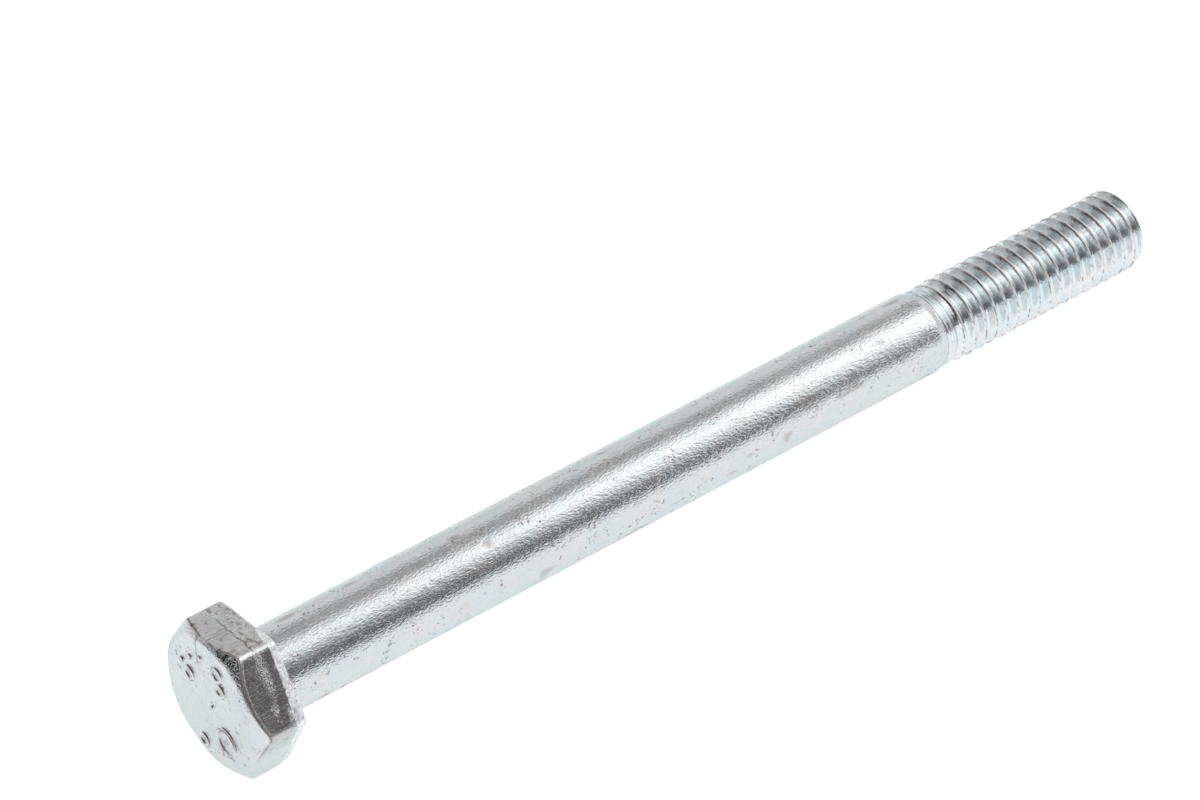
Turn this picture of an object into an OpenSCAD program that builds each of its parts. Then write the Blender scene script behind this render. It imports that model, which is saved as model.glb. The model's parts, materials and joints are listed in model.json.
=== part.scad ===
// Partly threaded hex bolt, lying on a flat of its head.
// Frame: +X runs along the axis from the head to the point, +Z is up and the origin is the centre of the
// bearing face, so lengths under the head are read straight off X.

/* [Head] */
// Width across flats
across_flats = 10; // [9.8:0.1:10.4]
// Height of the head, from the bearing face to the top
head_height = 3.7; // [3:0.1:6]
// Diameter of the flat circle inside the top chamfer
head_top_d = 9.3; // [8.8:0.1:9.7]
// Slope of the top chamfer, from the plane of the top
head_chamfer_angle = 39; // [20:1:45]
// Diameter of the centre dimple
dimple_d = 0.9; // [0.4:0.1:2]
// Depth of the centre dimple
dimple_depth = 0.12; // [0.05:0.01:0.4]

/* [Raised marks on the head] */
// Height of the marks
mark_height = 0.1; // [0.04:0.01:0.2]
// Width of a ring's line, and half the width of a dot
mark_line = 0.2; // [0.1:0.05:0.3]

/* [Bearing face] */
// Diameter of the raised ring
washer_face_d = 9.3; // [8.2:0.1:9.6]
// How far the ring stands out of the head
washer_face_height = 0.2; // [0.15:0.05:0.6]

/* [Shank] */
// Length under the head
bolt_length = 75; // [40:1:100]
// Diameter of the plain shank
shank_d = 6; // [5.8:0.05:6.2]
// Radius of the fillet under the head
fillet_r = 0.4; // [0.2:0.05:0.6]
// Length of the taper between the shank and the thread
taper_length = 0.8; // [0.4:0.1:3]

/* [Thread] */
// Pitch
pitch = 1; // [0.8:0.05:1.25]
// Length from the point back to the first full turn
thread_length = 16.7; // [10:0.1:30]
// Diameter over the crests
crest_d = 5.94; // [5.8:0.02:6]
// Diameter of the rolled blank, where the thread fades out
blank_d = 5.66; // [5.3:0.02:5.76]
// Turns over which the thread fades out
run_out_turns = 2; // [1:0.1:3]
// Diameter of the flat end
point_d = 4.8; // [4:0.1:5]
// Slope of the chamfer at the end, from the axis
point_angle = 45; // [30:1:60]

/* [Hidden] */

zinc_head = "lightgray";
zinc_washer = "silver";
zinc_shank = "gainsboro";
zinc_thread = "lightsteelblue";
round_fn = 96;

corner_r = across_flats / 2 / cos(30);
hex_height = head_height - washer_face_height;
root_r = shank_d / 2 + fillet_r;
blank_r = blank_d / 2;
crest_r = crest_d / 2;
run_out = run_out_turns * pitch;
thread_start = bolt_length - thread_length - run_out;
shank_end = thread_start - taper_length;

// Raised marks as [y, z] of the middle of each, and the radius of the middle of a ring's line
RING_MARKS = [[2, 1.4, 0.45], [-1.3, 3.1, 0.47], [-1.45, 1.9, 0.42], [1.1, -3.55, 0.42], [-1.5, -2.25, 0.95]];
DOT_MARKS = [[2.7, 2.1], [1.7, 2.9], [0.5, 3.4]];

// Thread form: 60 degree flanks, a crest flat of an eighth of the pitch and a rounded root
thread_depth = 0.6134 * pitch;
flank_depth = 0.5 * pitch;
crest_half = pitch / 16;
flank_half = crest_half + flank_depth * tan(30);
// Each point of the profile over one pitch: place along the axis, then depth below the crest
PROFILE = [
    [0, 0],
    [crest_half * 2, 0],
    [crest_half + flank_half, flank_depth],
    [crest_half + pitch / 2, thread_depth],
    [crest_half + pitch - flank_half, flank_depth],
];
steps = 32; // facets round one turn
rows_per_turn = len(PROFILE);
turns = ceil((bolt_length - thread_start) / pitch) + 2;
rows = turns * rows_per_turn;

// Lays something drawn along +Z along +X instead
module along_x() {
    rotate([0, 90, 0]) children();
}

// --- head ---

module hexagon(height) {
    rotate(90) cylinder(h = height, r = corner_r, $fn = 6);
}

// Cone whose slope makes the chamfer: it is head_top_d wide at the top and wider than the head below
module chamfer_cone() {
    wide_r = corner_r + 1;
    depth = (wide_r - head_top_d / 2) * tan(head_chamfer_angle);
    cylinder(h = depth, r1 = head_top_d / 2, r2 = wide_r, $fn = round_fn);
    translate([0, 0, depth]) cylinder(h = head_height, r = wide_r, $fn = round_fn);
}

// A ring sunk as far into the head as it stands out of it
module ring_mark(outer_r, inner_r) {
    translate([0, 0, -mark_height]) difference() {
        cylinder(h = mark_height * 2, r = outer_r, $fn = round_fn);
        translate([0, 0, -mark_height]) cylinder(h = mark_height * 4, r = inner_r, $fn = round_fn);
    }
}

// Small rings and dots. Drawn along +Z, the part's z is -x and its y is y.
module marks() {
    for (ring = RING_MARKS) translate([-ring[1], ring[0], 0])
        ring_mark(ring[2] + mark_line / 2, ring[2] - mark_line / 2);
    for (dot = DOT_MARKS) translate([-dot[1], dot[0], -mark_height])
        cylinder(h = mark_height * 2, r = mark_line, $fn = round_fn);
}

module hex_head() {
    color(zinc_head) translate([-head_height, 0, 0]) along_x() union() {
        difference() {
            intersection() {
                hexagon(hex_height);
                chamfer_cone();
            }
            translate([0, 0, -1]) cylinder(h = 1 + dimple_depth, d = dimple_d, $fn = round_fn);
        }
        marks();
    }
}

// --- bearing ring, which lies round the root of the shank ---

module washer_face() {
    color(zinc_washer) translate([-washer_face_height, 0, 0]) along_x() difference() {
        cylinder(h = washer_face_height, d = washer_face_d, $fn = round_fn);
        translate([0, 0, -1]) cylinder(h = washer_face_height + 2, r = root_r, $fn = round_fn);
    }
}

// --- shank: root inside the ring, fillet, plain part and taper ---

module shank() {
    color(zinc_shank) along_x() rotate_extrude($fn = round_fn) {
        difference() {
            translate([0, -washer_face_height]) square([root_r, washer_face_height + fillet_r]);
            translate([root_r, fillet_r]) circle(r = fillet_r, $fn = round_fn);
        }
        polygon([
            [0, 0],
            [shank_d / 2, 0],
            [shank_d / 2, shank_end],
            [blank_r, thread_start],
            [0, thread_start],
        ]);
    }
}

// --- thread: one surface whose rows follow the helix ---

function clamp(value, low, high) = min(max(value, low), high);

// Place along the axis of a row at a step round the turn, before it is held between the two ends
function row_x(row, step) =
    thread_start + (floor(row / rows_per_turn) - 1 + step / steps) * pitch
    + PROFILE[row % rows_per_turn][0];

// How much of the full form there is: none where the thread starts, all after the run-out
function form_at(x) = clamp((x - thread_start) / run_out, 0, 1);

function thread_r(row, x) =
    let (full_r = crest_r - PROFILE[row % rows_per_turn][1],
         faded_r = blank_r + (full_r - blank_r) * form_at(x),
         chamfer_r = point_d / 2 + (bolt_length - x) * tan(point_angle))
    min(faded_r, chamfer_r);

function thread_point(row, step) =
    let (x = clamp(row_x(row, step), thread_start, bolt_length),
         r = thread_r(row, x),
         angle = 360 * step / steps)
    [x, r * cos(angle), r * sin(angle)];

// Index of a point. A turn further round is the same place as rows_per_turn rows further on.
// Points held at an end all share the one ring of points there.
function point_index(row, step) =
    step == steps ? point_index(row + rows_per_turn, 0)
    : row_x(row, step) <= thread_start ? start_ring + step
    : row_x(row, step) >= bolt_length ? end_ring + step
    : row * steps + step;

start_ring = (rows + rows_per_turn + 1) * steps;
end_ring = start_ring + steps;

function is_triangle(t) = t[0] != t[1] && t[1] != t[2] && t[2] != t[0];

module thread() {
    grid = [for (row = [0 : rows + rows_per_turn], step = [0 : steps - 1]) thread_point(row, step)];
    start_points = [for (step = [0 : steps - 1]) thread_point(0, step)];
    end_points = [
        for (step = [0 : steps - 1])
            let (angle = 360 * step / steps)
            [bolt_length, point_d / 2 * cos(angle), point_d / 2 * sin(angle)]
    ];
    sides = [
        for (row = [0 : rows - 1], step = [0 : steps - 1])
            let (a = point_index(row, step),
                 b = point_index(row + 1, step),
                 c = point_index(row + 1, step + 1),
                 d = point_index(row, step + 1))
            each [[a, b, c], [a, c, d]]
    ];
    caps = [
        [for (step = [0 : steps - 1]) start_ring + step],
        [for (step = [steps - 1 : -1 : 0]) end_ring + step],
    ];
    color(zinc_thread) polyhedron(
        points = concat(grid, start_points, end_points),
        faces = concat([for (t = sides) if (is_triangle(t)) t], caps)
    );
}

hex_head();
washer_face();
shank();
thread();
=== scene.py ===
import itertools
import json
import math

import bpy
import numpy as np
from mathutils import Matrix, Vector


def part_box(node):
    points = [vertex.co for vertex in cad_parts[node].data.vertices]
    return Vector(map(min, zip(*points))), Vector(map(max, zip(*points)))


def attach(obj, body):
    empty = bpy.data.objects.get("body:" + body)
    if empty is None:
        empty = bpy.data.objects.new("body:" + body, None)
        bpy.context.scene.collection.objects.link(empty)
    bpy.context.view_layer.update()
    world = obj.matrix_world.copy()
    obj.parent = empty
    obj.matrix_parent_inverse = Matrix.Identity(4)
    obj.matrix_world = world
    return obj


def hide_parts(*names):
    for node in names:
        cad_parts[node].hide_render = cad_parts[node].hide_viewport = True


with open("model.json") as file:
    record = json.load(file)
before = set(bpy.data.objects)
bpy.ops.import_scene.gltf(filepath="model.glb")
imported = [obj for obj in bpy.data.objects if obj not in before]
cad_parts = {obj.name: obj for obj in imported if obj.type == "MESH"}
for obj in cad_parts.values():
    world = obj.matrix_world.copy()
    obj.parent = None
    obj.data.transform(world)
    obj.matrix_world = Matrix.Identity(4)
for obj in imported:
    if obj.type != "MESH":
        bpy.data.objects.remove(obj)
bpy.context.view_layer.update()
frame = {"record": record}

# Sizes are in millimetres until a mesh is made. Those of the bolt come from the frame.
MM = 0.001
MOUNTS = {mount["name"]: mount for mount in frame["record"]["mounts"]}


def box_mm(node):
    low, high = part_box(node)
    return Vector(low) / MM, Vector(high) / MM


HEAD_LOW, HEAD_HIGH = box_mm("hex_head")
_, WASHER_HIGH = box_mm("washer_face")
_, SHANK_HIGH = box_mm("shank")
THREAD_LOW, THREAD_HIGH = box_mm("thread")

MARK_HEIGHT = 0.1
HEAD_TOP = HEAD_LOW.x + MARK_HEIGHT
HEAD_BACK = HEAD_HIGH.x
# The flats are a little inside the frame's box, so that what is raised on them stays near it
FLAT_R = HEAD_HIGH.z * 0.99
# Radius of the flat circle inside the chamfer
HEAD_TOP_R = 4.67
CHAMFER_SLOPE = math.tan(math.radians(39))

WASHER_R = WASHER_HIGH.y
ROOT_R = SHANK_HIGH.y
SHANK_R = MOUNTS["shank"]["dims"]["r_mm"]
FILLET_R = ROOT_R - SHANK_R
PLAIN_END = FILLET_R + MOUNTS["shank"]["dims"]["length_mm"]
THREAD_START = THREAD_LOW.x
TIP = THREAD_HIGH.x

PITCH = 1.0
CREST_R = THREAD_HIGH.y
BLANK_R = 2.83
RUN_OUT = 2.0 * PITCH
POINT_R = 2.4
POINT_SLOPE = math.tan(math.radians(45))
ROOT_DEPTH = 0.6134 * PITCH
# Half the width of the worn crest, in pitches
CREST_HALF = 0.085


# --- numbers -------------------------------------------------------------------------------


def smooth_noise(points, size, seed):
    """Smooth noise from -1 to 1 at points in millimetres, with lumps about size across."""
    cells = 32
    table = np.random.default_rng(seed).uniform(-1, 1, (cells, cells, cells))
    place = np.asarray(points, float) / size
    cell = np.floor(place).astype(int)
    share = place - cell
    share = share * share * (3 - 2 * share)
    total = np.zeros(place.shape[:-1])
    for corner in itertools.product((0, 1), repeat=3):
        weight = np.prod(np.where(corner, share, 1 - share), axis=-1)
        index = (cell + corner) % cells
        total += weight * table[index[..., 0], index[..., 1], index[..., 2]]
    return total


def step_up(value, start, end):
    """0 before start, 1 after end and a smooth step between them."""
    share = np.clip((value - start) / (end - start), 0, 1)
    return share * share * (3 - 2 * share)


def soft_min(a, b, width):
    """The smaller of two values, with the corner between them rounded over width."""
    blend = np.clip(0.5 + 0.5 * (b - a) / width, 0, 1)
    return b * (1 - blend) + a * blend - width * blend * (1 - blend)


def bell(distance, width):
    """1 where distance is 0, falling smoothly to nothing about two widths away."""
    return np.exp(-((distance / width) ** 2))


def column_corners(outline, columns):
    """Each (along, out) of an outline as one pair a column. Either may already be one value a column."""
    ones = np.ones(columns)
    return [np.stack([ones * along, ones * out], axis=-1) for along, out in outline]


def rounded_profile(corners, radii, straight_rows, bend_rows):
    """Rows of points along a path through corners, each rounded. A corner is one (along, out) pair a column.

    Radii holds one value for each end and corner, straight_rows one for each leg and bend_rows one for each
    corner."""
    rows = []
    for i in range(len(corners) - 1):
        leg = corners[i + 1] - corners[i]
        way = leg / np.linalg.norm(leg, axis=-1, keepdims=True)
        start = corners[i] + way * radii[i]
        end = corners[i + 1] - way * radii[i + 1]
        last = i == len(corners) - 2
        shares = np.linspace(0, 1, straight_rows[i] + (1 if last else 0), endpoint=last)
        rows += [start + (end - start) * share for share in shares]
        if not last:
            onward = corners[i + 2] - corners[i + 1]
            onward = onward / np.linalg.norm(onward, axis=-1, keepdims=True)
            after = corners[i + 1] + onward * radii[i + 1]
            for share in np.linspace(0, 1, bend_rows[i], endpoint=False):
                rows.append(
                    end * (1 - share) ** 2
                    + corners[i + 1] * 2 * share * (1 - share)
                    + after * share**2
                )
    return np.array(rows)


def turned(profile, angles):
    """Points of a turned surface. Profile holds (along, out) for each row and column."""
    along, out = profile[..., 0], profile[..., 1]
    return np.stack([along, out * np.cos(angles), out * np.sin(angles)], axis=-1)


def grid_normals(points):
    """Outward directions of a turned surface, from its neighbours in the grid."""
    down = np.gradient(points, axis=0)
    across = (np.roll(points, -1, axis=1) - np.roll(points, 1, axis=1)) / 2
    normals = np.cross(across, down)
    length = np.linalg.norm(normals, axis=-1, keepdims=True)
    return normals / np.maximum(length, 1e-12)


# --- meshes --------------------------------------------------------------------------------


def make_piece(name, points, faces, material, attributes):
    """A mesh object from points in millimetres, with one value a point for each attribute."""
    mesh = bpy.data.meshes.new(name)
    mesh.from_pydata((np.asarray(points) * MM).tolist(), [], faces)
    mesh.validate()
    for key, values in attributes.items():
        layer = mesh.attributes.new(key, "FLOAT", "POINT")
        layer.data.foreach_set("value", np.asarray(values, np.float32).ravel())
    mesh.polygons.foreach_set("use_smooth", [True] * len(mesh.polygons))
    mesh.materials.append(material)
    piece = bpy.data.objects.new(name, mesh)
    bpy.context.scene.collection.objects.link(piece)
    return piece


def ring_faces(rows, columns, wrap_rows=False):
    """Quads between the rows of a grid that closes on itself round its columns."""
    faces = []
    for row in range(rows if wrap_rows else rows - 1):
        a = row * columns
        b = ((row + 1) % rows) * columns
        for column in range(columns):
            after = (column + 1) % columns
            faces.append((a + column, a + after, b + after, b + column))
    return faces


def turned_piece(name, points, material, attributes):
    """A closed turned piece: the grid, and a fan to a point on the axis at each end."""
    rows, columns = points.shape[:2]
    ends = [[points[0, :, 0].mean(), 0, 0], [points[-1, :, 0].mean(), 0, 0]]
    faces = ring_faces(rows, columns)
    first, last = rows * columns, rows * columns + 1
    for column in range(columns):
        after = (column + 1) % columns
        faces.append((first, after, column))
        faces.append((last, (rows - 1) * columns + column, (rows - 1) * columns + after))
    values = {
        key: np.concatenate([value.ravel(), [value[0].mean(), value[-1].mean()]])
        for key, value in attributes.items()
    }
    return make_piece(name, np.vstack([points.reshape(-1, 3), ends]), faces, material, values)


def place(piece, node, slot):
    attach(piece, "root")
    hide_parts(node)


# --- materials -----------------------------------------------------------------------------


class Nodes:
    """Short names for the shader nodes of a material or a world."""

    def __init__(self, owner, coordinates="Object"):
        owner.use_nodes = True
        self.tree = owner.node_tree
        self.place = self.add("ShaderNodeTexCoord").outputs[coordinates]

    def add(self, kind, **settings):
        node = self.tree.nodes.new(kind)
        for key, value in settings.items():
            setattr(node, key, value)
        return node

    def link(self, output, socket):
        self.tree.links.new(output, socket)

    def feed(self, value, socket):
        """Links an output to the socket, or sets the socket to a number or colour."""
        if isinstance(value, bpy.types.NodeSocket):
            self.link(value, socket)
        else:
            socket.default_value = value

    def stretched(self, x, y, z):
        """Coordinates scaled along each axis, so a texture is drawn out along the small ones."""
        node = self.add("ShaderNodeMapping")
        node.inputs["Scale"].default_value = (x, y, z)
        self.link(self.place, node.inputs["Vector"])
        return node.outputs["Vector"]

    def noise(self, size, detail=3.0, roughness=0.55, where=None):
        """Noise from 0 to 1 with lumps about size millimetres across."""
        node = self.add("ShaderNodeTexNoise")
        node.inputs["Scale"].default_value = 1 / (size * MM)
        node.inputs["Detail"].default_value = detail
        node.inputs["Roughness"].default_value = roughness
        self.link(where or self.place, node.inputs["Vector"])
        return node.outputs["Fac"]

    def ramp(self, value, low, high, to_low=0.0, to_high=1.0, kind="SMOOTHSTEP"):
        """Value from low to high, mapped to to_low to to_high and held there outside."""
        node = self.add("ShaderNodeMapRange", interpolation_type=kind)
        self.link(value, node.inputs["Value"])
        node.inputs["From Min"].default_value = low
        node.inputs["From Max"].default_value = high
        node.inputs["To Min"].default_value = to_low
        node.inputs["To Max"].default_value = to_high
        return node.outputs["Result"]

    def math(self, operation, a, b):
        node = self.add("ShaderNodeMath", operation=operation)
        self.feed(a, node.inputs[0])
        self.feed(b, node.inputs[1])
        return node.outputs[0]

    def mix(self, share, a, b):
        """Colour a where share is 0 and colour b where it is 1."""
        node = self.add("ShaderNodeMix", data_type="RGBA")
        self.feed(share, node.inputs["Factor"])
        self.feed(a, node.inputs["A"])
        self.feed(b, node.inputs["B"])
        return node.outputs["Result"]

    def attribute(self, name):
        return self.add("ShaderNodeAttribute", attribute_name=name).outputs["Fac"]

    def bump(self, height, distance, below=None):
        node = self.add("ShaderNodeBump")
        node.inputs["Distance"].default_value = distance * MM
        self.link(height, node.inputs["Height"])
        if below:
            self.link(below, node.inputs["Normal"])
        return node.outputs["Normal"]


def new_material(name):
    """A new material, its nodes and the inputs of its shader."""
    material = bpy.data.materials.new(name)
    n = Nodes(material)
    return material, n, n.tree.nodes["Principled BSDF"].inputs


ZINC = (0.675, 0.70, 0.71)
ZINC_BLUE = (0.59, 0.68, 0.72)
ZINC_WARM = (0.68, 0.67, 0.65)
EDGE_TINT = (0.84, 0.92, 0.90, 1)
# Dark brown of stains, also used for the painted shade on the head
STAIN_AND_SHADE = (0.16, 0.11, 0.085, 1)
FILM = (0.38, 0.36, 0.35, 1)
SPARK = (0.93, 0.95, 0.97, 1)
CHALKY = (0.87, 0.85, 0.84, 1)
# A brown speck lies where its noise is above this
SPECK_LEVEL = 0.73
# How much rougher the plate is where it is rubbed or broken
WORN_DULL, CHALKY_DULL = 0.25, 0.38


def plate_colour(n, grains, tint, blue):
    """Zinc with cool and warm clouds, a little darker in the grain."""
    plate, cool, warm = ([level * tint for level in colour] + [1] for colour in (ZINC, ZINC_BLUE, ZINC_WARM))
    cast = n.mix(n.ramp(n.noise(3.0, 2), 0.35, 0.65, 0, blue), plate, cool)
    cast = n.mix(n.ramp(n.noise(1.3, 3), 0.5, 0.75, 0, 0.5), cast, warm)
    return n.mix(n.ramp(grains, 0.45, 0.75, 0, 0.15), cast, FILM)


def nick_lines(n, strength):
    """Short curved lines: the contour of one noise where two others are high."""
    contour = n.math("ABSOLUTE", n.math("SUBTRACT", n.noise(0.3, 1), 0.5), 0)
    lines = n.ramp(contour, 0.02, 0.05, strength, 0)
    where = n.math("MULTIPLY", n.ramp(n.noise(1.1, 1), 0.56, 0.62), n.ramp(n.noise(0.25, 2), 0.52, 0.58))
    return n.math("MULTIPLY", lines, where)


def zinc(
    name, roughness, grain, tint=1.0, blue=0.5, nicks=0.0, streaks=None, film=False, worn=None, chalk=0.0
):
    """Bright zinc plate with a fine grain, brown specks, small nicks and a stain on worn edges; on the head
    the stain also holds painted shade.

    Grain is the size and height of the grain, and streaks those of a second one and its stretch. Film is
    a dull brown skin. Worn is the colour where the plate is rubbed or broken, and chalk is how unlike
    metal it is there. Chalk needs worn."""
    material, n, shader = new_material(name)
    size, height = grain
    grains = n.noise(size, 2, 0.6, n.stretched(0.5, 1, 1))
    normal = n.bump(grains, height)
    if streaks:
        size, height, scales = streaks
        normal = n.bump(n.noise(size, 3, 0.6, n.stretched(*scales)), height, normal)

    specks = n.ramp(n.noise(0.22, 4, 0.7), SPECK_LEVEL, SPECK_LEVEL + 0.05)
    # The stain attribute also holds painted shade on the head
    stain = n.math("MAXIMUM", n.attribute("stain"), n.math("MULTIPLY", specks, 0.75))
    if nicks:
        stain = n.math("MAXIMUM", stain, nick_lines(n, nicks))

    cast = plate_colour(n, grains, tint, blue)
    if film:
        cast = n.mix(n.math("MULTIPLY", n.attribute("film"), 0.5), cast, FILM)
    dull = n.ramp(n.noise(0.7, 4), 0.35, 0.75, roughness * 0.85, roughness * 1.3)
    dull = n.math("ADD", dull, n.math("MULTIPLY", stain, 0.3))
    metallic = 1.0
    if worn:
        spots = n.ramp(n.noise(0.12, 1, 0.5), 0.53, 0.61)
        sparks = n.math("MULTIPLY", spots, n.attribute("rough"))
        bright = n.math("MAXIMUM", sparks, n.attribute("bright"))
        cast = n.mix(bright, cast, worn)
        dull = n.math("ADD", dull, n.math("MULTIPLY", bright, CHALKY_DULL if chalk else WORN_DULL))
        normal = n.bump(sparks, 0.035, normal)
    if chalk:
        metallic = n.math("SUBTRACT", 1.0, n.math("MULTIPLY", bright, chalk))

    n.link(n.mix(stain, cast, STAIN_AND_SHADE), shader["Base Color"])
    n.feed(metallic, shader["Metallic"])
    shader["Specular Tint"].default_value = EDGE_TINT
    n.link(dull, shader["Roughness"])
    n.link(normal, shader["Normal"])
    return material


# --- head ----------------------------------------------------------------------------------

HEAD_COLUMNS = 480
# Raised rings (y, z, radius) and dots (y, z) on the top of the head
BIG_RING = (-1.5, -2.25, 0.95)
MARK_RINGS = ((2.0, 1.4, 0.45), (-1.3, 3.1, 0.47), (-1.45, 1.9, 0.42), (1.1, -3.55, 0.42), BIG_RING)
MARK_DOTS = ((2.7, 2.1), (1.7, 2.9), (0.5, 3.4))
# Half the width of a ring's line, and the radius of a dot
MARK_LINE = 0.1
DOT_R = 0.17
DIMPLE_AT = (-0.2, 0.0)
DIMPLE_R = 0.2
DIMPLE_DEPTH = 0.2
# The edge towards the shank is broken: how far along the bolt, how far in, and how far its rim is bent back
BEVEL_LENGTH = 0.62
BEVEL_DROP = 0.16
RIM_BEND = 0.12
# How far from the back the metal is cracked, and where the scores cross the upper flat
CRACK_FROM_BACK = 1.5
SCORES_AT = (-0.05, -0.36)
# The upper flat faces 90 degrees, and the flats to its right 150 and 210
UPPER, RIGHT, LOWER_RIGHT, HIDDEN = 90, 150, 210, 330
# The corner between the upper flat and the one to its right
RIGHT_CORNER = UPPER + 30


def hexagon_radius(angles):
    """Radius of the hexagon at each angle, with its corners a little rounded."""
    sharpness = 42
    flats = np.radians(np.arange(30, 390, 60))
    facing = np.maximum(np.cos(angles[:, None] - flats[None, :]), 0)
    return FLAT_R / (facing**sharpness).sum(axis=1) ** (1 / sharpness)


def towards(angles, facing):
    """1 at the angle faced, in degrees, falling to -1 on the other side."""
    return np.cos(angles - math.radians(facing))


def on_flat(angles, facing):
    """1 on the flat that faces this way, in degrees, and 0 on the others."""
    return step_up(towards(angles, facing), 0.862, 0.874)


def mark_distance(y, z):
    """Distance outside the edge of the nearest raised mark on the top of the head."""
    rings = [np.abs(np.hypot(y - a, z - b) - radius) - MARK_LINE for a, b, radius in MARK_RINGS]
    dots = [np.hypot(y - a, z - b) - DOT_R for a, b in MARK_DOTS]
    return np.min(rings + dots, axis=0)


def spot(u, v, at_u, at_v, size_u, size_v):
    """A soft spot, 1 in its middle."""
    return np.exp(-(((u - at_u) / size_u) ** 2) - ((v - at_v) / size_v) ** 2)


def bevel_length(angles):
    """How far the broken edge reaches along the bolt in each column. It grows along each flat."""
    round_place = np.stack([0 * angles, 5 * np.cos(angles), 5 * np.sin(angles)], axis=-1)
    length = BEVEL_LENGTH + 0.12 * np.sin(2 * (angles - math.radians(RIGHT)))
    return length + (0.07 * smooth_noise(round_place, 0.9, 15) + 0.05 * smooth_noise(round_place, 0.25, 16))


def head_profile(hexagon, chamfer_x, bevel, slight):
    """Rows of (along, out) for each column, from the middle of the top round to the shank."""
    outline = [
        (HEAD_TOP, 0.02),
        (HEAD_TOP, HEAD_TOP_R),
        (chamfer_x, hexagon),
        (HEAD_BACK - bevel, hexagon),
        (HEAD_BACK + RIM_BEND * (1 - slight), hexagon - BEVEL_DROP * (1 - 0.6 * slight)),
        (HEAD_BACK, SHANK_R),
    ]
    slope = (hexagon - HEAD_TOP_R) / math.cos(math.atan(CHAMFER_SLOPE))
    radii = (0, (0.1 + slope * 0.35)[:, None], (0.02 + slope * 0.07)[:, None], 0.06, 0.08, 0)
    corners = column_corners(outline, len(hexagon))
    return rounded_profile(corners, radii, (90, 6, 60, 10, 5), (14, 6, 4, 4))


class SmoothHead:
    """The head before it is dented: its grid of points, and where each of them lies on it."""

    def __init__(self):
        angles = np.radians(np.arange(HEAD_COLUMNS) * 360 / HEAD_COLUMNS)
        hexagon = hexagon_radius(angles)
        # The bevel is slight on the upper flat
        slight = step_up(towards(angles, UPPER - 10), 0.83, 0.94)
        bevel = bevel_length(angles) * (1 - 0.65 * slight)
        self.chamfer_x = HEAD_TOP + (hexagon - HEAD_TOP_R) * CHAMFER_SLOPE
        self.points = turned(head_profile(hexagon, self.chamfer_x, bevel, slight), angles)
        self.normals = grid_normals(self.points)
        self.x, self.y, self.z = (self.points[..., axis] for axis in range(3))
        self.out = np.hypot(self.y, self.z)
        self.side_place = self.points * [0, 1, 1]
        self.from_back = HEAD_BACK - self.x
        self.past_chamfer = self.x - self.chamfer_x
        along = self.normals[..., 0]
        self.on_top = step_up(-along, 0.97, 0.995)
        self.on_side = step_up(np.abs(along), 0.6, 0.3) * step_up(self.from_back, bevel - 0.02, bevel + 0.04)
        self.on_bevel = step_up(bevel - self.from_back, 0.0, 0.08) * step_up(-along, -0.85, -0.7)
        self.upper, self.right, self.hidden = (on_flat(angles, facing) for facing in (UPPER, RIGHT, HIDDEN))
        self.plain_flats = (1 - self.upper) * (1 - self.right) * (1 - on_flat(angles, LOWER_RIGHT))
        self.upward = step_up(towards(angles, UPPER + 25), -0.1, 0.35)
        # Place across each flat, from its middle
        facing = np.radians(30 + 60 * np.round((np.degrees(angles) - 30) / 60))
        self.across = self.z * np.cos(facing) - self.y * np.sin(facing)
        # Worn along the right corner, and brightest on its ridge
        at_corner = towards(angles, RIGHT_CORNER)
        self.corner_wear = step_up(at_corner, 0.9975, 0.9995) * self.on_side
        self.ridge = step_up(at_corner, 0.9991, 0.9998) * self.on_side
        self.ridge *= 0.75 + 0.4 * smooth_noise(self.side_place + self.points * [1, 0, 0], 0.3, 25)


def tears(head):
    """Where some flats tore away towards the back and lie a little lower, and the crack along the tear."""
    wander = 0.09 * smooth_noise(head.side_place, 1.6, 3)
    crack = CRACK_FROM_BACK + wander + 0.07 * smooth_noise(head.side_place, 0.35, 4)
    torn_flat = np.maximum(head.upper, 0.8 * head.hidden) * head.on_side
    torn = step_up(crack - head.from_back, -0.03, 0.03) * torn_flat
    crack_line = bell(head.from_back - crack, 0.05) * torn_flat
    return torn, crack_line * step_up(smooth_noise(head.side_place, 0.9, 14), -0.7, -0.2)


def chamfer_edge(head):
    """The ragged line along the chamfer's edge, and the ridge of torn metal beside it."""
    ragged = 0.03 * smooth_noise(head.side_place, 0.5, 18)
    ragged = ragged + 0.05 * np.abs(smooth_noise(head.side_place, 0.9, 19)) * head.upper
    line = bell(head.past_chamfer - 0.02 - ragged, 0.065) * (head.out > HEAD_TOP_R * 0.98)
    return line, bell(head.past_chamfer - 0.16 - ragged, 0.05) * head.on_side


def raised_marks(head):
    """Distance outside the nearest raised mark, and how high the marks stand.

    The foot of the big ring is wider than the others."""
    from_mark = mark_distance(head.y, head.z)
    by_big_ring = step_up(-np.hypot(head.y - BIG_RING[0], head.z - BIG_RING[1]), -1.4, -1.3)
    foot = -0.1 - 0.08 * by_big_ring
    rise = step_up(-from_mark, foot, foot + 0.12 + 0.02 * by_big_ring)
    return from_mark, MARK_HEIGHT * rise * head.on_top


def ring_hollows_and_shade(head):
    """A shallow dip along the upper side of the big ring, and one inside its lower edge, both painted dark as
    shade.
    """
    ring_y, ring_z = head.y - BIG_RING[0], head.z - BIG_RING[1]
    from_middle = np.hypot(ring_y, ring_z)
    upper_side = step_up((0.91 * ring_z - 0.42 * ring_y) / np.maximum(from_middle, 0.01), 0.3, 0.85)
    along_ring = bell(from_middle - BIG_RING[2] + 0.02, 0.07) * upper_side
    return (along_ring + spot(head.y, head.z, -1.15, -3.0, 0.09, 0.16)) * head.on_top


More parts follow.
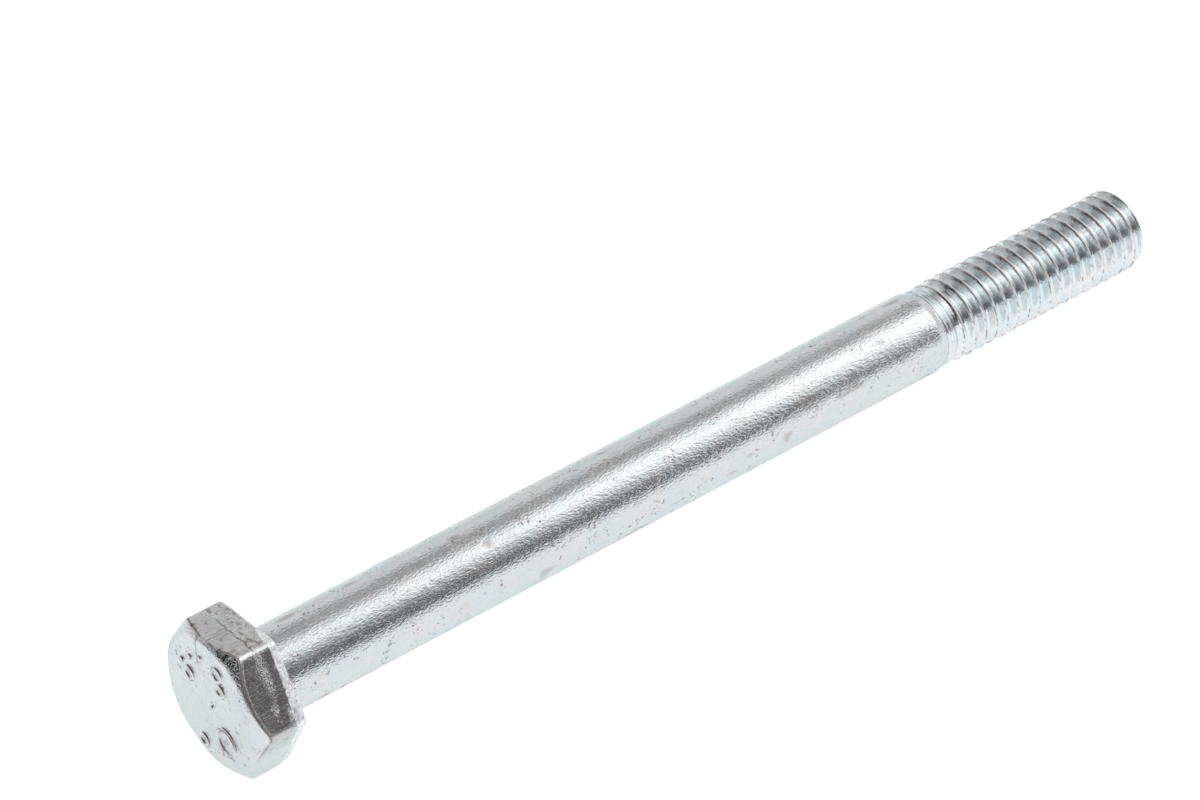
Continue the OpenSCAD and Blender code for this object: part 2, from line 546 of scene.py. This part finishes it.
def head_stain_and_shade(head, points, lines, torn, dented, from_mark):
    """Brown dirt: in the lines, in patches of the torn metal, on the flats and round the marks; painted shade
    in the dips by the big ring and on the marks' sloping sides that face up and to the right.
    """
    chamfer_line, crack_line, scores, hollow_and_shade = lines
    patchy = step_up(smooth_noise(points, 0.5, 7), -0.75, -0.1)
    tongues = spot(points[..., 0], head.across, head.chamfer_x - 0.18, -0.85, 0.2, 0.09)
    tongues += spot(points[..., 0], head.across, head.chamfer_x + 0.12, -1.9, 0.2, 0.12)
    stain = 0.9 * chamfer_line * patchy * head.upward + 0.7 * tongues * head.upper
    # Dirt in the crack and the scores, and painted shade in the hollows by the big ring
    stain += 0.75 * crack_line + 0.3 * scores + 0.95 * hollow_and_shade
    stain += 0.55 * torn * step_up(smooth_noise(points, 0.22, 8), 0.15, 0.5)
    streaked = step_up(smooth_noise(points * [0.3, 1, 1], 0.16, 21), 0.45, 0.7)
    stain += 0.4 * head.on_side * (1 - torn) * streaked * head.upward
    mark_edge = bell(from_mark, 0.05) * head.on_top
    stain += 0.75 * mark_edge * step_up(smooth_noise(points, 0.45, 9), -0.1, 0.4) + 0.5 * dented
    # Painted shade on the steep sides of the marks that face up and to the right
    painted_shade_steep = step_up(grid_normals(points) @ np.array([0, -0.6, 0.8]), 0.3, 0.55)
    return stain + 0.85 * painted_shade_steep * head.on_top * step_up(smooth_noise(points, 0.4, 22), -0.6, 0)


def make_head(material):
    head = SmoothHead()
    torn, crack_line = tears(head)
    chamfer_line, burr = chamfer_edge(head)
    from_mark, raised = raised_marks(head)
    hollow_and_shade = ring_hollows_and_shade(head)
    # Scores along the bolt in the middle of the upper flat
    scores = sum(bell(head.y - at, 0.045) for at in SCORES_AT) * head.upper * head.on_side * (1 - torn)
    dented = step_up(smooth_noise(head.points, 0.3, 13), 0.5, 0.8) * head.on_top * step_up(head.out, 1.2, 3.6)
    # Patches where the plate broke open, and small bright spots in them
    chamfer_patch = step_up(head.past_chamfer, -0.6, -0.3) * step_up(-head.past_chamfer, 0.05, 0.1)
    bands = spot(head.x, head.across, -1.65, -1.5, 0.3, 1.3)
    bands += 0.9 * spot(head.x, head.across, -1.9, 1.2, 0.2, 0.4)
    bands += spot(head.x, head.across, -0.95, 2.0, 0.25, 0.6)
    speckled = head.right * bands + 0.35 * head.right * head.corner_wear + 0.25 * torn
    speckled = np.clip(speckled, 0, 1) * head.on_side + 0.35 * chamfer_patch * step_up(head.z, 1.5, 3)
    speckles = np.random.default_rng(24).random(speckled.shape) < 0.3 * speckled

    lift = 0.012 * smooth_noise(head.points, 2.2, 1) + 0.004 * smooth_noise(head.points, 0.6, 2)
    lumps = smooth_noise(head.points, 0.28, 6) + 0.6 * smooth_noise(head.points, 0.13, 17)
    lift += torn * (0.012 * lumps - 0.02) - 0.04 * crack_line - 0.008 * scores
    lift += 0.018 * burr * head.right - 0.02 * chamfer_line
    lift += raised - 0.04 * hollow_and_shade - 0.02 * dented
    from_dimple = np.hypot(head.y - DIMPLE_AT[0], head.z - DIMPLE_AT[1])
    lift -= DIMPLE_DEPTH * bell(from_dimple, DIMPLE_R) * head.on_top
    lift += 0.02 * speckles + 0.014 * head.on_bevel * smooth_noise(head.points, 0.2, 26)
    points = head.points + head.normals * lift[..., None]

    rough = head.on_side * (0.5 * head.right * bands + 0.5 * torn)
    rough += 0.45 * head.on_side * head.plain_flats * step_up(smooth_noise(points, 1.2, 10), 0.1, 0.5)
    rough += 0.25 * chamfer_patch * step_up(smooth_noise(points, 0.8, 20), -0.2, 0.3)
    film = head.on_side * head.upward * (0.75 + 0.25 * smooth_noise(points, 0.8, 11))
    film *= (1 + 0.4 * head.right) * (1 - head.corner_wear)
    lines = (chamfer_line, crack_line, scores, hollow_and_shade)
    bright = head.on_bevel * (0.6 + 0.8 * smooth_noise(points, 0.16, 23)) + head.ridge + speckles
    attributes = {
        # Stains, with painted shade on the marks and round the big ring
        "stain": head_stain_and_shade(head, points, lines, torn, dented, from_mark),
        "film": film,
        "rough": rough,
        "bright": bright,
    }
    attributes = {key: np.clip(values, 0, 1) for key, values in attributes.items()}
    return turned_piece("bolt_head", points, material, attributes)


# --- washer face ---------------------------------------------------------------------------


def make_washer_face(material):
    """The bearing ring, sunk a little into the head and round the shank so that no gap shows."""
    columns = 288
    angles = np.radians(np.arange(columns) * 360 / columns)
    inside = ROOT_R - 0.1
    seat = HEAD_BACK - 0.15
    outline = [(seat, inside), (seat, WASHER_R), (0.0, WASHER_R), (0.0, inside)]
    corners = column_corners(outline, columns)
    points = turned(rounded_profile(corners, (0, 0.02, 0.17, 0), (10, 4, 24), (3, 9)), angles)
    rim = step_up(np.hypot(points[..., 1], points[..., 2]), WASHER_R - 0.3, WASHER_R)
    uneven = 0.02 * smooth_noise(points * [0, 1, 1], 1.4, 21) * rim
    points[..., 1:] *= (1 + uneven / WASHER_R)[..., None]
    stain = 0.4 * rim * step_up(smooth_noise(points, 0.5, 22), 0.2, 0.7)
    faces = ring_faces(len(points), columns, wrap_rows=True)
    return make_piece("bolt_washer_face", points.reshape(-1, 3), faces, material, {"stain": stain})


# --- shank ---------------------------------------------------------------------------------

DENTS = 70


def dents(points, count, seed):
    """Depth of small dents scattered over the shank."""
    random = np.random.default_rng(seed)
    depth = np.zeros(points.shape[:2])
    for _ in range(count):
        along = random.uniform(1.5, PLAIN_END - 1)
        angle = random.uniform(0, 2 * math.pi)
        length, width = random.uniform(0.25, 0.9), random.uniform(0.18, 0.35)
        lean = random.uniform(-1.2, 1.2)
        deep = random.uniform(0.006, 0.02)
        near = slice(*np.searchsorted(points[:, 0, 0], (along - 2.5, along + 2.5)))
        around = np.arctan2(points[near, :, 2], points[near, :, 1]) - angle
        around = (around + math.pi) % (2 * math.pi) - math.pi
        u = points[near, :, 0] - along
        v = around * SHANK_R
        a = (u * math.cos(lean) + v * math.sin(lean)) / length
        b = (v * math.cos(lean) - u * math.sin(lean)) / width
        depth[near] += deep * np.exp(-(a * a + b * b) * 2)
    return depth


def shank_outline():
    """(along, out) of the shank: its root inside the head, the fillet, the plain part and the taper."""
    outline = [(HEAD_BACK, 0.05), (HEAD_BACK, ROOT_R), (-0.02, ROOT_R)]
    for turn in np.radians(np.linspace(0, 90, 12)):
        outline.append((FILLET_R * (1 - math.cos(turn)), ROOT_R - FILLET_R * math.sin(turn)))
    outline += [(along, SHANK_R) for along in np.linspace(FILLET_R, PLAIN_END - 0.35, 245)[1:]]
    taper = PLAIN_END + (THREAD_START - PLAIN_END) * np.linspace(-0.3, 1, 16)
    drop = step_up(taper, PLAIN_END + 0.05, THREAD_START)
    outline += list(zip(taper, SHANK_R - (SHANK_R - BLANK_R) * drop))
    return outline + [(THREAD_START, BLANK_R * 0.5)]


def make_shank(material):
    columns = 300
    angles = np.radians(np.arange(columns) * 360 / columns)
    points = turned(np.array(column_corners(shank_outline(), columns)), angles)
    x = points[..., 0]
    plain = step_up(x, 0.3, 1.0) * step_up(-x, -THREAD_START, -THREAD_START + 0.6)
    uneven = 0.004 * smooth_noise(points * [0.25, 1, 1], 1.5, 31) + 0.0025 * smooth_noise(points, 0.6, 32)
    change = plain * uneven - dents(points, DENTS, 33)
    points[..., 1:] *= (1 + change / SHANK_R)[..., None]
    stain = 0.35 * step_up(smooth_noise(points * [0.5, 1, 1], 0.8, 34), 0.6, 0.85)
    return turned_piece("bolt_shank", points, material, {"stain": stain})


# --- thread --------------------------------------------------------------------------------

THREAD_COLUMNS = 104
THREAD_TURNS = math.ceil((TIP - THREAD_START) / PITCH) + 2
# Places of the rows in one turn, in pitches from the middle of the crest: close together at its edge
CREST_ROWS = [0, 0.014, 0.028, 0.042, 0.056, 0.07, 0.085, 0.105]
FLANK_ROWS = [0.14, 0.2, 0.25, 0.29, 0.33, 0.37, 0.41, 0.455]
HALF_ROWS = np.array(CREST_ROWS + FLANK_ROWS)
ROWS = np.concatenate([-HALF_ROWS[:0:-1], HALF_ROWS, [0.5]])
# Rings of the end face, as shares of its radius
END_RINGS = np.array([1.0, 0.985, 0.965, 0.94, 0.9, 0.84, 0.76, 0.66, 0.54, 0.4, 0.26, 0.12])
END_DISH = 0.05
ROLL_MARK_LENGTH = 1.7


def thread_depth(place, form):
    """Depth below the crest at a place from -0.5 to 0.5 of a pitch from the crest's middle."""
    blunt = 0.09
    from_crest = np.sqrt(place**2 + blunt**2) - blunt
    depth = ROOT_DEPTH * (1 - np.clip(1 - from_crest / (0.5 - blunt), 0, 1) ** 1.6)
    # Where the thread fades out, a seam is left along the middle of the crest
    return depth + 0.14 * (1 - form) * bell(place, 0.1 * (1.1 - form))


def thread_form(held):
    """How much of the full form there is: none where the thread starts, all after the run-out."""
    form = 0.6 * step_up(held, THREAD_START + 0.2, THREAD_START + 0.7 * RUN_OUT)
    return form + 0.4 * step_up(held, THREAD_START + 0.4, THREAD_START + 1.3 * RUN_OUT)


def on_cylinder(along, out, angles):
    """Points at a radius of out, which may be one number."""
    return turned(np.stack([along, out + 0 * along], axis=-1), angles)


def thread_faces(index):
    """Two triangles in each cell of the grid. A turn further round is len(ROWS) rows further on."""
    count = THREAD_TURNS * len(ROWS) + 1
    here = index[:count]
    onward = np.hstack([here[:, 1:], index[len(ROWS) : len(ROWS) + count, :1]])
    a, b, c, d = here[:-1], here[1:], onward[1:], onward[:-1]
    pairs = [np.stack(corners, axis=-1) for corners in ((a, c, b), (a, d, c))]
    triangles = np.stack(pairs, axis=2).reshape(-1, 3)
    # Where points are held at an end, a cell has lost a side
    whole = (triangles != np.roll(triangles, 1, axis=1)).all(axis=1)
    return triangles[whole].tolist()


def end_face(angles):
    """Rings of points from the worn rim of the end face into its shallow dish, and their stain."""
    rings, stains = [], []
    for share in END_RINGS:
        ring = on_cylinder(np.full(len(angles), TIP), POINT_R * share, angles)
        worn = 0.02 * smooth_noise(ring, 0.3, 45) if share < 1 else 0
        ring[:, 0] += np.minimum(worn, 0) - END_DISH * (1 - share**2) - 0.01
        rings.append(ring)
        stains.append(0.6 * step_up(smooth_noise(ring, 0.6, 46), 0.25, 0.6) * (share > 0.9))
    return rings, stains


def cap_faces(start_ring, end_ring, start_pole, end_pole):
    """A fan that closes the start, the rings of the end face and a fan in their middle."""
    faces = []
    last = end_ring + (len(END_RINGS) - 1) * THREAD_COLUMNS
    neighbours = [(j, (j + 1) % THREAD_COLUMNS) for j in range(THREAD_COLUMNS)]
    for a in range(end_ring, last, THREAD_COLUMNS):
        b = a + THREAD_COLUMNS
        faces += [(a + k, b + k, b + j, a + j) for j, k in neighbours]
    for j, k in neighbours:
        faces.append((start_pole, start_ring + k, start_ring + j))
        faces.append((end_pole, last + j, last + k))
    return faces


def thread_surface(phase, along, angles):
    """Points of the thread, its stain and how bright its worn crest is."""
    held = np.clip(along, THREAD_START, TIP)
    form = thread_form(held)
    crest_points = on_cylinder(held, CREST_R, angles)
    depth = thread_depth(np.broadcast_to(phase, held.shape), form)
    uneven = 0.012 * smooth_noise(crest_points, 0.9, 41) + 0.008 * smooth_noise(crest_points, 0.25, 42)
    nicks = 0.06 * step_up(smooth_noise(crest_points, 0.45, 43), 0.72, 0.95)
    full = CREST_R - depth + (uneven - nicks) * bell(phase, 0.08)
    out = BLANK_R + (full - BLANK_R) * form
    # Fine marks left by the rolls where the thread begins
    from_start = held - THREAD_START
    marked = step_up(from_start, 0, 0.1) * step_up(-from_start, -ROLL_MARK_LENGTH, -0.9)
    roll_marks = np.cos(2 * math.pi * 4 * phase) + 0.5 * np.cos(2 * math.pi * 3 * phase)
    out = out + 0.02 * roll_marks * marked
    chamfer = POINT_R + (TIP - held) * POINT_SLOPE
    out = soft_min(out, chamfer, 0.05)
    out = np.where(along <= THREAD_START, BLANK_R, out)
    out = np.where(along >= TIP, POINT_R, out)

    # Brown along the edges of the crest, which is worn bright between them
    patchy = step_up(smooth_noise(crest_points, 0.24, 44), 0.0, 0.4)
    stain = 0.9 * bell(np.abs(phase) - CREST_HALF, 0.018) * patchy * step_up(form, 0.15, 0.5)
    stain = stain + 0.3 * marked * step_up(-roll_marks, 0.6, 1.2) * patchy
    bright = step_up(CREST_HALF - np.abs(phase), -0.01, 0.03) * step_up(form, 0.1, 0.5)
    bright = bright * (0.65 + 0.5 * smooth_noise(crest_points, 0.3, 47)).clip(0.2, 1)
    return on_cylinder(held, out, angles), stain, bright


def make_thread(material):
    row = np.arange((THREAD_TURNS + 1) * len(ROWS) + 1)
    turn = np.arange(THREAD_COLUMNS) / THREAD_COLUMNS
    angles = 2 * math.pi * turn
    phase = ROWS[row % len(ROWS)][:, None]
    along = THREAD_START + PITCH * (row // len(ROWS) - 1 + phase[:, 0])[:, None] + PITCH * turn
    points, stain, bright = thread_surface(phase, along, angles)
    face_rings, face_stain = end_face(angles)
    start_points = on_cylinder(np.full(THREAD_COLUMNS, THREAD_START), BLANK_R, angles)
    poles = [[THREAD_START, 0, 0], [TIP - END_DISH - 0.01, 0, 0]]
    all_points = np.vstack([points.reshape(-1, 3), start_points, *face_rings, poles])

    # Points held at an end share one ring
    start_ring = stain.size
    end_ring = start_ring + THREAD_COLUMNS
    column = np.arange(THREAD_COLUMNS)
    index = np.arange(stain.size).reshape(stain.shape)
    index = np.where(along <= THREAD_START, start_ring + column, index)
    index = np.where(along >= TIP, end_ring + column, index)
    faces = thread_faces(index) + cap_faces(start_ring, end_ring, len(all_points) - 2, len(all_points) - 1)

    # Only the points that a face uses are kept
    used = np.unique(np.concatenate([np.array(face) for face in faces]))
    renumber = np.full(len(all_points), -1)
    renumber[used] = np.arange(len(used))
    faces = [tuple(renumber[list(face)].tolist()) for face in faces]
    stain = np.concatenate([stain.ravel(), np.zeros(THREAD_COLUMNS), *face_stain, np.zeros(len(poles))])
    bright = np.concatenate([bright.ravel(), np.zeros(len(stain) - bright.size)])
    attributes = {"stain": stain[used], "rough": np.zeros(len(used)), "bright": bright[used]}
    return make_piece("bolt_thread", all_points[used], faces, material, attributes)


# --- floor, light and camera ---------------------------------------------------------------

WHITE = (1, 1, 1, 1)
# The sheet is lit from below as well, so the bolt hardly shades it
LIT_FLOOR = 0.8
FLOOR_HALF_SIZE = 2500
MIDDLE = Vector(((HEAD_LOW.x + TIP) / 2, 0, 0)) * MM


def make_floor():
    """A pale sheet that the head's lower flat and the thread rest on.

    The bolt's axis is level, so the sheet slopes."""
    gap = 0.01
    under_head = Vector((HEAD_BACK, 0, HEAD_LOW.z - gap))
    under_thread = Vector((TIP - 1, 0, THREAD_LOW.z - gap))
    along = (under_thread - under_head).normalized() * FLOOR_HALF_SIZE
    across = Vector((0, FLOOR_HALF_SIZE, 0))
    middle = (under_head + under_thread) / 2
    corners = [middle + along * a + across * b for a, b in ((-1, -1), (1, -1), (1, 1), (-1, 1))]
    mesh = bpy.data.meshes.new("floor")
    mesh.from_pydata([corner * MM for corner in corners], [], [(0, 1, 2, 3)])
    material, n, shader = new_material("white_paper")
    n.link(n.mix(n.noise(40, 3), (0.4, 0.4, 0.4, 1), (0.42, 0.42, 0.42, 1)), shader["Base Color"])
    shader["Roughness"].default_value = 0.9
    shader["Specular IOR Level"].default_value = 0.1
    shader["Emission Color"].default_value = WHITE
    shader["Emission Strength"].default_value = LIT_FLOOR
    mesh.materials.append(material)
    floor = bpy.data.objects.new("floor", mesh)
    bpy.context.scene.collection.objects.link(floor)


def softbox(name, where, shape, width, height, radiance):
    """An area light facing the bolt's axis, at where, in metres. Radiance is how bright its face looks."""
    light = bpy.data.lights.new(name, "AREA")
    light.shape = shape
    light.size, light.size_y = width, height
    area = width * height * (math.pi / 4 if shape == "ELLIPSE" else 1)
    light.energy = radiance * math.pi * area
    lamp = bpy.data.objects.new(name, light)
    lamp.location = MIDDLE + Vector(where)
    lamp.rotation_euler = Vector((0, where[1], where[2])).to_track_quat("Z", "Y").to_euler()
    bpy.context.scene.collection.objects.link(lamp)


def make_world():
    """A dim room, lighter overhead and behind the bolt, dark beyond the head and bright beyond the tip.

    The camera itself sees white paper beyond the floor."""
    world = bpy.data.worlds.new("studio")
    bpy.context.scene.world = world
    n = Nodes(world, "Generated")
    facing = n.add("ShaderNodeVectorMath", operation="DOT_PRODUCT")
    facing.inputs[1].default_value = (0.4, 0.4, 0.82)
    n.link(n.place, facing.inputs[0])
    split = n.add("ShaderNodeSeparateXYZ")
    n.link(n.place, split.inputs["Vector"])
    lighter = n.ramp(facing.outputs["Value"], 0.05, 0.85, kind="LINEAR")
    beyond_head = n.ramp(split.outputs["X"], -0.85, -0.4, 0.12, 1.0, kind="LINEAR")
    beyond_tip = n.ramp(split.outputs["X"], 0.55, 0.8, 1.0, 2.3, kind="LINEAR")
    room = n.tree.nodes["Background"]
    n.link(n.mix(lighter, (0.15, 0.14, 0.145, 1), (0.43, 0.41, 0.405, 1)), room.inputs["Color"])
    n.link(n.math("MULTIPLY", beyond_head, beyond_tip), room.inputs["Strength"])
    paper = n.add("ShaderNodeBackground")
    paper.inputs["Color"].default_value = WHITE
    both = n.add("ShaderNodeMixShader")
    n.link(n.add("ShaderNodeLightPath").outputs["Is Camera Ray"], both.inputs["Fac"])
    n.link(room.outputs[0], both.inputs[1])
    n.link(paper.outputs[0], both.inputs[2])
    n.link(both.outputs[0], n.tree.nodes["World Output"].inputs["Surface"])


def make_lights():
    """A long strip overhead, softboxes to its left and right and a panel behind.

    Wider, weaker copies soften the edges."""
    for width, radiance in ((0.24, 0.8), (0.42, 0.3), (0.64, 0.22)):
        softbox("strip", (0, -0.245, 0.656), "RECTANGLE", 1.6, width, radiance)
    for size, radiance in ((0.9, 0.45), (1.15, 0.4), (1.4, 0.2)):
        softbox("key", (0.212, -0.127, 0.272), "ELLIPSE", 0.15 * size, 0.34 * size, radiance)
    for height, radiance in ((0.16, 0.4), (0.3, 0.32)):
        softbox("right", (0.445, -0.2, 0.2), "RECTANGLE", 0.51, height, radiance)
    softbox("tip", (0.33, -0.15, 0.26), "RECTANGLE", 0.21, 0.56, 0.25)
    softbox("front", (-0.08, -0.152, 0.326), "RECTANGLE", 0.4, 0.6, 0.24)
    softbox("left", (-0.36, -0.3, 0.46), "ELLIPSE", 0.62, 0.62, 0.5)
    softbox("back", (-0.2, 0.93, 0.45), "RECTANGLE", 2.2, 0.9, 0.46)


def make_camera():
    """The camera looks down at the head end, from behind the head and to its right."""
    turn, down, roll = (math.radians(angle) for angle in (36.48, 35.81, -3.76))
    distance = 0.342
    aim = MIDDLE + Vector((-0.7, 8.75, 0)) * MM
    forward = Vector((math.sin(turn) * math.cos(down), math.cos(turn) * math.cos(down), -math.sin(down)))
    level = forward.cross(Vector((0, 0, 1))).normalized()
    upright = level.cross(forward)
    right = level * math.cos(roll) + upright * math.sin(roll)
    up = right.cross(forward)
    data = bpy.data.cameras.new("camera")
    data.lens = 151.0
    data.sensor_width = 36
    data.clip_start, data.clip_end = 0.01, 20
    camera = bpy.data.objects.new("camera", data)
    rotation = Matrix((right, up, -forward)).transposed().to_4x4()
    camera.matrix_world = Matrix.Translation(aim - forward * distance) @ rotation
    bpy.context.scene.collection.objects.link(camera)
    bpy.context.scene.camera = camera
    bpy.context.scene.view_settings.view_transform = "Standard"


# --- the bolt ------------------------------------------------------------------------------

shear_lines = (0.07, 0.015, (0.08, 1, 1))
head_zinc = zinc("zinc_head", 0.15, (0.16, 0.012), nicks=0.5, streaks=shear_lines, film=True, worn=SPARK)
washer_zinc = zinc("zinc_washer_face", 0.2, (0.16, 0.012))
shank_zinc = zinc("zinc_shank", 0.14, (0.14, 0.035), nicks=0.8)
thread_zinc = zinc("zinc_thread", 0.18, (0.2, 0.015), tint=1.17, blue=0.9, worn=CHALKY, chalk=0.55)

place(make_head(head_zinc), "hex_head", "zinc_head")
place(make_washer_face(washer_zinc), "washer_face", "zinc_washer_face")
place(make_shank(shank_zinc), "shank", "zinc_shank")
place(make_thread(thread_zinc), "thread", "zinc_thread")

make_floor()
make_world()
make_lights()
make_camera()
